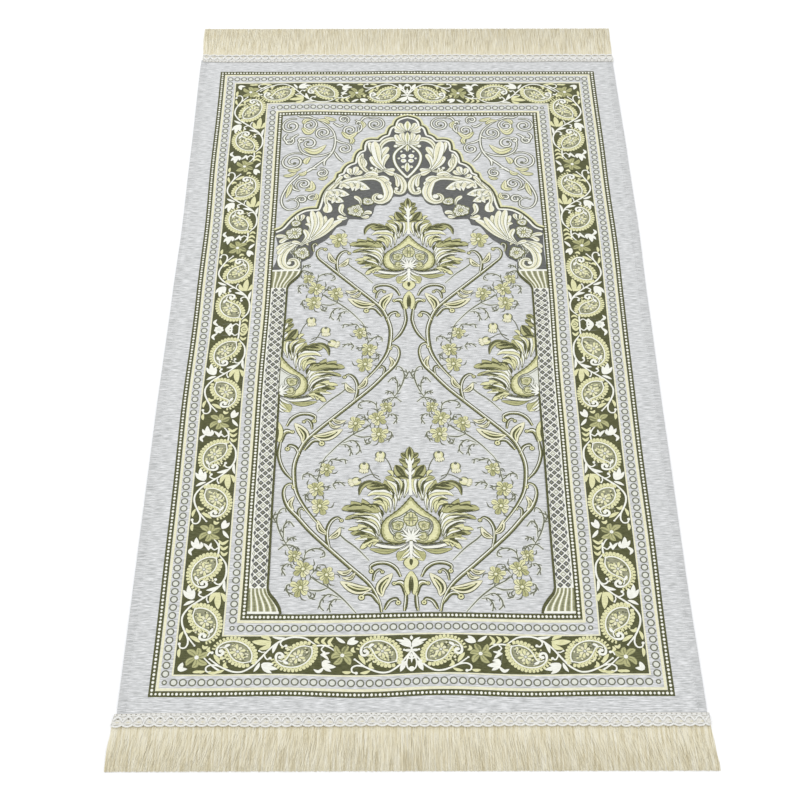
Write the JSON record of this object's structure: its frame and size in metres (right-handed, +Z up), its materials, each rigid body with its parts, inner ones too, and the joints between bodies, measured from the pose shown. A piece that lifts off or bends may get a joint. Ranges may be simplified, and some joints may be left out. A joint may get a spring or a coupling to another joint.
{
  "type": "prayer rug",
  "caption": "Flat rectangular prayer rug of patterned jacquard cloth with hemmed long sides, and a fringe under a wavy gimp heading at each end.",
  "frame": {"origin": "middle of the rug's bounding box, on the floor under it", "axes": "+X across the rug, +Y along it towards the end that the woven niche points to, +Z up from the floor"},
  "size_m": [0.662, 1.253, 0.0053],
  "materials": {
    "silver_cloth": "woven jacquard in silver grey with fine weft slubs",
    "ivory_gimp": "twisted cotton cords",
    "cream_yarn": "brushed yarn with a soft sheen"
  },
  "bodies": {
    "root": {"rug_cloth": "silver_cloth", "heading_near": "ivory_gimp", "heading_far": "ivory_gimp", "fringe_near": "cream_yarn", "fringe_far": "cream_yarn"}
  },
  "joints": []
}
